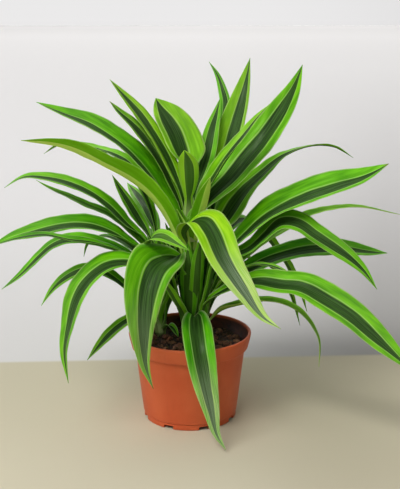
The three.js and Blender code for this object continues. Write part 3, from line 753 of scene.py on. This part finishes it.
def chip(bm, size, flat, seed, place, turn):
    """An irregular chunk of bark: a ball cut by planes, then flattened, turned and set down.

    Returns how many points it adds."""
    rng = random.Random(seed)
    part = bmesh.new()
    bmesh.ops.create_icosphere(part, subdivisions=3, radius=1.0)
    for _ in range(CHIP_CUTS):
        normal = Vector((rng.uniform(-1, 1), rng.uniform(-1, 1), rng.uniform(-0.6, 0.6))).normalized()
        whole = part.verts[:] + part.edges[:] + part.faces[:]
        cut = bmesh.ops.bisect_plane(part, geom=whole, dist=1e-5, plane_co=normal * rng.uniform(0.42, 0.8),
                                     plane_no=normal, clear_outer=True)
        bmesh.ops.holes_fill(part, edges=[e for e in cut["geom_cut"] if isinstance(e, bmesh.types.BMEdge)])
    bmesh.ops.triangulate(part, faces=part.faces[:])
    spin = Euler(turn).to_matrix()
    offset = Vector((rng.uniform(0, 50), rng.uniform(0, 50), 0))
    found = {}
    for v in part.verts:
        push = 1 + 0.14 * noise.noise(v.co * 2.2 + offset) + 0.06 * noise.noise(v.co * 7 + offset)
        x, y, z = v.co.x * size * push, v.co.y * size * 0.68 * push, v.co.z * size * flat * push
        found[v] = bm.verts.new((spin @ Vector((x, y, z)) + place) * MM)
    for f in part.faces:
        bm.faces.new([found[v] for v in f.verts])
    part.free()
    return len(found)


def clear_of_canes(x, y, margin):
    feet = [(cane["base"], cane["radius"][0]) for cane in CANES.values()]
    return all(math.hypot(x - base[0], y - base[1]) > radius + margin for base, radius in feet)


def random_spot(rng, radius):
    angle, reach = rng.uniform(0, 2 * math.pi), radius * math.sqrt(rng.random())
    return reach * math.cos(angle), reach * math.sin(angle)


def make_bark(material):
    """The large bark pieces, where the CAD has them, and smaller ones between."""
    rng = random.Random(11)
    places = []
    for i in range(CHUNK_COUNT):
        angle = i * CHUNK_TURN
        reach = CHUNK_SPREAD * math.sqrt((i + 0.6) / CHUNK_COUNT)
        size = CHUNK_SIZE * lerp(0.6, 1.2, draw(i, 1))
        x, y = reach * math.cos(angle), reach * math.sin(angle)
        if clear_of_canes(x, y, size * 0.7):
            turn = (draw(i, 2) - 0.5, 0.3 * (draw(i, 5) - 0.5), 2 * math.pi * draw(i, 3))
            places.append((x, y, size * 0.98, 0.5, size * 0.12, turn, rng.random() ** 2))
    for _ in range(CHIP_COUNT):
        x, y = random_spot(rng, CHIP_REACH)
        size = rng.uniform(*CHIP_SIZES)
        if clear_of_canes(x, y, size):
            turn = (rng.uniform(-0.6, 0.6), rng.uniform(-0.6, 0.6), rng.uniform(0, 6.28))
            places.append((x, y, size, rng.uniform(0.35, 0.6), size * 0.15 + 0.3, turn, rng.random() ** 2))
    bm = bmesh.new()
    tones = []
    for order, (x, y, size, flat, rise, turn, tone) in enumerate(places):
        count = chip(bm, size, flat, order * 7 + 3, Vector((x, y, soil_height(x, y) + rise)), turn)
        tones += [tone] * count
    return object_of_bmesh("soil_bark", bm, material, tones)


def make_grit(material):
    """Fine crumbs on the soil."""
    rng = random.Random(5)
    bm = bmesh.new()
    tones = []
    for _ in range(GRIT_COUNT):
        x, y = random_spot(rng, GRIT_REACH)
        size = rng.uniform(*GRIT_SIZES)
        if not clear_of_canes(x, y, size):
            continue
        place = Matrix.Translation(Vector((x, y, soil_height(x, y) + rng.uniform(0.2, 1.2))) * MM)
        turn = Euler((rng.uniform(0, 3), rng.uniform(0, 3), rng.uniform(0, 3))).to_matrix().to_4x4()
        stretch = Matrix.Diagonal((size * rng.uniform(0.7, 1.8), size, size * 0.7, 1))
        made = bmesh.ops.create_icosphere(bm, subdivisions=1, radius=MM, matrix=place @ turn @ stretch)
        for v in made["verts"]:
            v.co += Vector((rng.uniform(-1, 1), rng.uniform(-1, 1), rng.uniform(-1, 1))) * size * 0.22 * MM
        tones += [rng.random() ** 1.5] * len(made["verts"])
    return object_of_bmesh("soil_grit", bm, material, tones)


# --- Canes


def cane_axis(cane, height):
    share = (height - cane["base"][2]) / (cane["top"][2] - cane["base"][2])
    return np.array([lerp(b, t, share) for b, t in zip(cane["base"], cane["top"])])


def cane_radius(cane, height):
    share = clamp((height - cane["base"][2]) / (cane["top"][2] - cane["base"][2]))
    return lerp(cane["radius"][0], cane["radius"][1], share)


def make_cane(name, cane, material):
    """A cane with slanting leaf scars and a rolled young leaf at its top."""
    foot, top = cane["base"][2] - CANE_BURIED, cane["top"][2]
    spear = cane["spear"]
    scars = []
    level = foot
    while level < top - 4:
        scars.append(level)
        spacing = lerp(*SCAR_SPACING, (level - foot) / (top - foot))
        level += spacing * lerp(0.8, 1.2, draw(len(scars) - 1, len(name)))
    heights = [*np.arange(foot, top, CANE_STEP), *(top + spear * np.linspace(0, 0.97, SPEAR_STEPS))]
    vertices, levels, marks, turns = [], [], [], []
    for height in heights:
        axis = cane_axis(cane, height)
        rise = clamp((height - top) / spear)
        for k in range(CANE_SIDES):
            angle = 2 * math.pi * k / CANE_SIDES
            mark = 0.0
            for n, scar in enumerate(scars):
                # A scar is a ridge, sharp below and soft above.
                gap = height - (scar + SCAR_SLANT * math.cos(angle - SCAR_TURN * n))
                if -1.0 < gap < 5.0:
                    mark = max(mark, math.exp(-abs(gap) / 0.7) if gap < 0 else math.exp(-gap / 1.6))
            radius = cane_radius(cane, height) - SCAR_HEIGHT + SCAR_HEIGHT * mark * (1 - rise)
            if rise > 0:
                # The spear is a rolled leaf, so its radius jumps where the roll ends.
                seam = ((angle / (2 * math.pi) + rise * 0.9) % 1.0) - 0.5
                narrow = (cane["radius"][1] - SCAR_HEIGHT) * (1 - rise) ** 0.75
                radius = narrow * (0.9 + 0.16 * seam) + 0.25
            vertices.append(axis + np.array([radius * math.cos(angle), radius * math.sin(angle), 0]))
            levels.append((height - foot) / (top + spear - foot))
            marks.append(mark * (1 - rise))
            turns.append(0.5 + 0.5 * math.cos(angle))
    rings = [range(i, i + CANE_SIDES) for i in range(0, len(vertices), CANE_SIDES)]
    faces = [*ring_faces(rings), tuple(rings[0][::-1]), tuple(rings[-1])]
    floats = {"height": levels, "ring": marks, "turn": turns}
    return add_object(f"cane_{name}", vertices, faces, material, floats)


# --- Leaves


def centripetal(points):
    """A centripetal Catmull-Rom curve through the points."""
    points = [np.array(p, float) for p in points]
    last = len(points) - 1
    made = []
    for i in range(CURVE_STEPS + 1):
        place = last * i / CURVE_STEPS
        k = min(int(place), last - 1)
        w = place - k
        p1, p2 = points[k], points[k + 1]
        p0 = points[k - 1] if k > 0 else p1 * 2 - p2
        p3 = points[k + 2] if k + 2 <= last else p2 * 2 - p1
        d0, d1, d2 = (max(np.linalg.norm(b - a) ** 0.5, 1e-4) for a, b in ((p0, p1), (p1, p2), (p2, p3)))
        t1 = ((p1 - p0) / d0 - (p2 - p0) / (d0 + d1) + (p2 - p1) / d1) * d1
        t2 = ((p2 - p1) / d1 - (p3 - p1) / (d1 + d2) + (p3 - p2) / d2) * d1
        square, cube = 3 * (p2 - p1) - 2 * t1 - t2, 2 * (p1 - p2) + t1 + t2
        made.append(p1 + t1 * w + square * w * w + cube * w ** 3)
    return np.array(made)


def lengths(points):
    return np.r_[0, np.cumsum(np.linalg.norm(np.diff(points, axis=0), axis=1))]


def outline_share(u, neck_share, form):
    widest, taper = form
    opening = clamp((u - neck_share) / (widest - neck_share))
    rise = lerp(BLADE_ROOT_SHARE, 1, math.sin(math.pi / 2 * opening))
    past = max(0, (u - widest) / (1 - widest))
    return rise * math.cos(math.pi / 2 * past ** taper)


def leaf_rows(table):
    """What each line of a table says of its leaf, with the usual form where it gives none."""
    rows = []
    for line in table.strip().splitlines():
        head, route = line.split(":")
        azimuth, width, neck, roll_root, roll_tip, *form = map(float, head.split())
        points = [[float(value) for value in point.split(",")] for point in route.split()]
        rows.append((azimuth, width, neck, roll_root, roll_tip, points, form or BLADE_FORM))
    return rows


def midrib(cane, azimuth, route, stack):
    """The leaf's midrib: up the cane's skin from the leaf scar, then along the route.

    Returns evenly spaced points, their distance from the route's start, and the route's length."""
    a = math.radians(azimuth)
    outward, across = np.array([math.cos(a), math.sin(a), 0]), np.array([-math.sin(a), math.cos(a), 0])
    origin = cane_axis(cane, route[0][1])
    points = []
    for reach, height, *sideways in route:
        point = origin + outward * reach + across * sum(sideways)
        points.append((*point[:2], height))
    curve = centripetal(points)
    along = lengths(curve)
    total = along[-1]
    # Inside the cane the route is moved out to the skin.
    for i, point in enumerate(curve):
        axis = cane_axis(cane, point[2])
        axis[2] = point[2]
        off = point - axis
        reach = np.linalg.norm(off)
        if reach > HUG_REACH:
            break
        skin = cane_radius(cane, point[2]) + stack
        wanted = (reach + skin + math.sqrt((reach - skin) ** 2 + 3)) / 2
        wanted = lerp(wanted, reach, smoothstep(along[i], *HUG_FADE))
        direction = off / reach if reach > 1.5 else outward
        curve[i] = axis + direction * wanted
    # Below the leaf scar the sheath runs straight down.
    drops = np.linspace(-SHEATH_LENGTH, 0, 6)[:-1]
    curve = np.vstack([[curve[0] + np.array([0, 0, drop]) for drop in drops], curve])
    along = np.r_[drops, along]
    travelled = lengths(curve)
    count = max(24, int(round(travelled[-1] / STATION_STEP)))
    even = np.linspace(0, travelled[-1], count + 1)
    place = np.c_[[np.interp(even, travelled, curve[:, k]) for k in range(3)]].T
    for _ in range(2):
        place[1:-1] = (place[:-2] + 2 * place[1:-1] + place[2:]) / 4
    return place, np.interp(even, travelled, along), total, across


def blade_height(fold, s):
    """The half blade at share s of its width, as a path that starts level at the midrib, climbs, and
    eases at the margin: how far out and up it has come, and its slope there."""
    def slope(r):
        return fold * smoothstep(r, 0.0, 0.16) * (1.36 - 0.56 * r)
    parts = 6
    slopes = [slope(s * (q + 0.5) / parts) for q in range(parts)]
    return sum(map(math.cos, slopes)) * s / parts, sum(map(math.sin, slopes)) * s / parts, slope(s)


def make_leaf(key, cane, row, order, material, stack):
    """A blade along its midrib, wrapped round the cane at its root, with the numbers its looks need.

    stack is how far the root lies from the cane's skin."""
    azimuth, width, neck, roll_root, roll_tip, route, form = row
    place, along, total, across = midrib(cane, azimuth, route, stack)
    tangent = np.gradient(place, axis=0)
    tangent /= np.linalg.norm(tangent, axis=1)[:, None]
    waves = total / WAVE_LENGTH
    steps = np.linspace(-1, 1, COLUMNS + 1)
    steps = np.sign(steps) * np.abs(steps) ** 0.9
    upper, lower = [], []
    floats = {name: [] for name in ("across", "lateral", "along", "share")}
    for i in range(len(place)):
        u = clamp(along[i] / total)
        t = tangent[i]
        side = across - t * np.dot(across, t)
        side /= np.linalg.norm(side)
        roll = math.radians(lerp(roll_root, roll_tip, u))
        up = np.cross(t, side)
        side, up = side * math.cos(roll) + up * math.sin(roll), up * math.cos(roll) - side * math.sin(roll)

        axis = cane_axis(cane, place[i][2])
        inward = axis - place[i]
        inward[2] = 0
        reach = np.linalg.norm(inward)
        skin = cane_radius(cane, place[i][2]) + stack
        wrap = 0.0
        if along[i] <= HUG_FADE[1]:
            wrap = 1 - smoothstep(reach, skin + UNWRAP_START, skin + UNWRAP_END)
        bend = clamp(reach / max(0.35, float(np.dot(up, inward)) / max(reach, 1e-6)), skin, 60)

        half = max(BLADE_TIP_HALF, width / 2 * outline_share(u, neck / total, form))
        clasp = skin * SHEATH_TURN * lerp(1, 0.45, smoothstep(along[i], -SHEATH_LENGTH, 22))
        half = lerp(half, max(half, clasp), wrap ** 1.5)
        opened = smoothstep(u * total, neck * 0.5, neck + FOLD_OPEN_LENGTH)
        fold = math.radians(lerp(lerp(FOLD_ROOT, FOLD_MIDDLE, opened), FOLD_TIP, max(0, 2 * u - 1)))
        wave = width * WAVE_SHARE * math.sin(math.pi * u)
        ripple = RIPPLE_HEIGHT * math.sin(math.pi * u) * (1 - wrap)
        for v in steps:
            sign = 1 if v > 0 else -1
            s = abs(v)
            x, z, slope = blade_height(fold, s)
            phase = 2 * math.pi * (waves * u + draw(order, sign))
            small = 2 * math.pi * (total / RIPPLE_LENGTH * u + draw(order, sign + 5))
            lift = wave * math.sin(phase) * s ** 1.3 + ripple * math.sin(small) * s ** 4
            flat = np.array([sign * half * x, half * z + lift])
            turn = s * half / bend
            round_ = np.array([sign * bend * math.sin(turn), bend * (1 - math.cos(turn))])
            offset = flat * (1 - wrap) + round_ * wrap
            tilt = lerp(slope, turn, wrap)
            point = place[i] + side * offset[0] + up * offset[1]
            normal = up * math.cos(tilt) - side * sign * math.sin(tilt)
            rib = lerp(RIB_ROOT, RIB_TIP, u) * math.exp(-(s * half / RIB_WIDTH) ** 2) * (1 - wrap)
            sheet = lerp(SHEET_ROOT, SHEET_BLADE, smoothstep(u, 0, 0.5)) + rib
            sheet *= lerp(1, 0.6, s ** 3) * lerp(1, 0.55, smoothstep(u, 0.9, 1))
            upper.append(point)
            lower.append(point - normal * sheet)
            for numbers, value in zip(floats.values(), (v, v * half, along[i], u)):
                numbers.append(value)
    columns = len(steps)
    base = len(upper)
    faces = []
    for a in range(0, base - columns, columns):
        d = a + columns
        for k in range(columns - 1):
            faces.append((a + k + 1, d + k + 1, d + k, a + k))
            faces.append((base + a + k, base + d + k, base + d + k + 1, base + a + k + 1))
        faces.append((base + a, a, d, base + d))
        a, d = a + columns - 1, d + columns - 1
        faces.append((a, base + a, base + d, d))
    for k in range(columns - 1):
        faces.append((base + k, base + k + 1, k + 1, k))
        a = base - columns + k
        faces.append((a, a + 1, base + a + 1, base + a))
    floats = {name: numbers * 2 for name, numbers in floats.items()}
    floats["under"] = [0.0] * base + [1.0] * base
    usual = [lerp(low, high, draw(order, salt)) for low, high, salt in USUAL_LOOKS]
    looks = LOOKS.get(key, usual)
    # The looks end with how faded the band is, which also brings in colours lifted as painted light, how
    # pale the painted sheen streaks are, and a seed.
    looks = (*looks, *USUAL_FADE_SHEEN[len(looks) - 3:], draw(order, 9) * 40)
    for name, value in zip(("tone", "burn", "shift", "fade_and_light", "painted_sheen", "seed"), looks):
        floats[name] = [value] * base * 2
    return add_object(f"blade_{key}", upper + lower, faces, material, floats)


# --- Build

leaf_look = leaf_material()
cane_look = cane_material()
bed_look = soil_material("soil_mix", SOIL.mix, SOIL.mix_light, SOIL.mix_crumb)
bark_look = soil_material("soil_bark_skin", SOIL.bark, SOIL.bark_light, SOIL.bark_crumb)

pot = make_pot(pot_material())
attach(pot, "root")
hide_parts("pot")

bed = make_soil(bed_look)
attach(bed, "root")
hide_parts("soil")
for piece in (make_bark(bark_look), make_grit(bed_look)):
    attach(piece, "root")

for cane_name, cane in CANES.items():
    piece = make_cane(cane_name, cane, cane_look)
    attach(piece, "root")
    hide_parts(f"stem_{cane_name}")

order = 0
for cane_name, table in LEAVES.items():
    rows = leaf_rows(table)
    # The highest root lies closest to its cane.
    by_height = sorted(range(len(rows)), key=lambda i: -rows[i][5][0][1])
    for i, row in enumerate(rows):
        key = f"{cane_name}_{i + 1:02d}"
        stack = LAYER_FIRST + LAYER_STEP * (by_height.index(i) % LAYERS)
        piece = make_leaf(key, CANES[cane_name], row, order, leaf_look, stack)
        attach(piece, "root")
        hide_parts(f"leaf_{key}")
        order += 1

for cane_name, (count, low, high, first, long, broad) in SHEATHS.items():
    cane = CANES[cane_name]
    for i in range(count):
        foot = lerp(low, high, i / (count - 1))
        skin = cane_radius(cane, foot)
        size = long * lerp(0.8, 1.2, draw(i, 21))
        lean = lerp(*SHEATH_LEAN, draw(i, 22))
        rises = ((0, 0), (0.6, 0.35), (1.6, 0.7), (lean, 1))
        route = [(skin + out, foot + size * up) for out, up in rises]
        row = (first + SHEATH_STEP * i, broad, 10, 0, 0, route, BLADE_FORM)
        stack = BASE_LAYER_FIRST + BASE_LAYER_STEP * ((count - i) % BASE_LAYERS)
        piece = make_leaf(f"sheath_{cane_name}_{i + 1:02d}", cane, row, 100 + i, leaf_look, stack)
        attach(piece, "root")

for order, line in enumerate(INNER.strip().splitlines()):
    number, cane_name, rest = line.split(maxsplit=2)
    row, = leaf_rows(rest)
    piece = make_leaf(f"inner_{number}", CANES[cane_name], row, 200 + order, leaf_look, INNER_LAYER)
    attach(piece, "root")

# --- Stage

scene = bpy.context.scene
bpy.ops.mesh.primitive_plane_add(size=FLOOR_SIZE, location=(0, 0, 0))
floor = bpy.context.object
floor.name = "stage_floor"
floor.data.materials.append(floor_material())
bpy.ops.mesh.primitive_cylinder_add(vertices=96, radius=WALL_RADIUS, depth=WALL_HEIGHT,
                                    end_fill_type="NOTHING", location=(0, 0, WALL_HEIGHT / 2 - WALL_SUNK))
wall = bpy.context.object
wall.name = "stage_wall"
wall.data.materials.append(wall_material())

for name, (place, strength, softness, colour) in LIGHTS.items():
    light = bpy.data.lights.new(name, "SUN")
    light.energy = strength
    light.angle = math.radians(softness)
    light.color = colour
    lamp = new_object(name, light)
    lamp.location = place
    lamp.rotation_euler = (Vector(LIGHT_TARGET) - Vector(place)).to_track_quat("-Z", "Y").to_euler()

world = bpy.data.worlds.new("studio")
world.use_nodes = True
background = world.node_tree.nodes["Background"]
background.inputs["Color"].default_value = WORLD_COLOUR
background.inputs["Strength"].default_value = WORLD_STRENGTH
scene.world = world
scene.view_settings.view_transform = "Standard"

camera_data = bpy.data.cameras.new("camera")
camera_data.sensor_width = SENSOR
camera_data.lens = FOCAL_PIXELS / FRAME_HEIGHT * SENSOR
camera = new_object("camera", camera_data)
camera.location = CAMERA_PLACE
camera.rotation_euler = (math.radians(90 - CAMERA_PITCH), 0, 0)
scene.camera = camera
